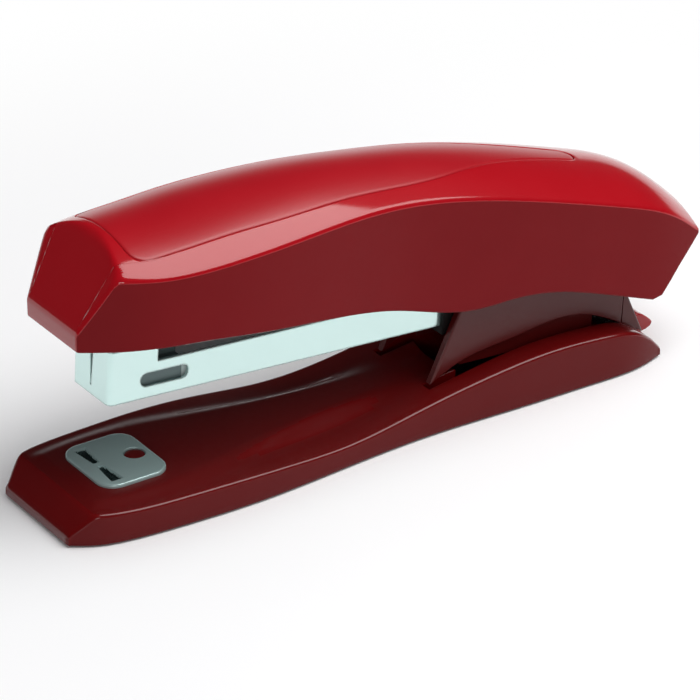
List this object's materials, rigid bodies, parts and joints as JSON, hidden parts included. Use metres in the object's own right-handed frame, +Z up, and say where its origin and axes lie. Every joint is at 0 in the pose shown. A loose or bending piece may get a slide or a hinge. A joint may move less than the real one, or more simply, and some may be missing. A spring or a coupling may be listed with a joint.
{
  "type": "stapler",
  "caption": "Full-strip desktop stapler: a crowned cover over a hinged steel magazine, on a waisted moulded base with a steel anvil.",
  "frame": {"origin": "centre of the footprint, on the surface that the stapler stands on", "axes": "+X along the length from the nose to the tail, +Y across, +Z up"},
  "size_m": [0.165, 0.0396, 0.0656],
  "materials": {
    "cover_gloss": "polished deep red moulding",
    "insert_satin": "satin fine-textured red moulding",
    "base_gloss": "polished dark red moulding",
    "bracket_satin": "satin brownish red moulding",
    "nickel": "bright nickel plate",
    "anvil_steel": "satin plated steel",
    "frame_steel": "zinc plated sheet steel",
    "spring_steel": "bright spring wire",
    "pusher_steel": "plated sheet steel",
    "black_plastic": "black moulding",
    "rubber": "black rubber",
    "screw_steel": "blackened steel"
  },
  "bodies": {
    "base": {"base_shell": "base_gloss", "base_plate": "black_plastic", "foot_front": "rubber", "foot_rear": "rubber", "base_screws": "screw_steel", "remover_tongue": "cover_gloss", "anvil_plate": "anvil_steel", "carrier_pin": "frame_steel", "lift_spring": "spring_steel"},
    "carrier": {"handle_pin": "frame_steel", "bracket": "bracket_satin", "bracket_rear_cap": "bracket_satin", "guide_collar": "black_plastic", "magazine_channel": "nickel", "magazine_rail": "frame_steel", "front_bridge": "frame_steel", "rear_stop": "black_plastic", "guide_rod": "frame_steel", "magazine_rivets": "frame_steel", "pusher_spring": "spring_steel"},
    "pusher": {"staple_pusher": "pusher_steel"},
    "handle": {"handle_frame": "frame_steel", "driver_blade": "pusher_steel", "driver_rivets": "frame_steel", "handle_spring": "spring_steel", "cover_screws": "screw_steel", "top_insert": "insert_satin", "handle_cover": "cover_gloss"}
  },
  "joints": [
    {"name": "magazine_hinge", "type": "hinge", "parent": "base", "child": "carrier", "pos_m": [0.064, 0, 0.0075], "axis": [0, -1, 0], "range_deg": [0, 7.3], "stiffness_Nm_per_rad": 4, "springref_deg": -5.73, "deforming": ["lift_spring"]},
    {"name": "handle_hinge", "type": "hinge", "parent": "carrier", "child": "handle", "pos_m": [0.05602, 0, 0.03097], "axis": [0, -1, 0], "range_deg": [-26, 4], "stiffness_Nm_per_rad": 5, "springref_deg": -0.57, "deforming": ["handle_spring"]},
    {"name": "pusher_slide", "type": "slide", "parent": "carrier", "child": "pusher", "axis": [0.9979, 0, -0.0654], "range_m": [0, 0.07], "stiffness_N_per_m": 15, "springref_m": -0.03, "deforming": ["pusher_spring"]}
  ]
}
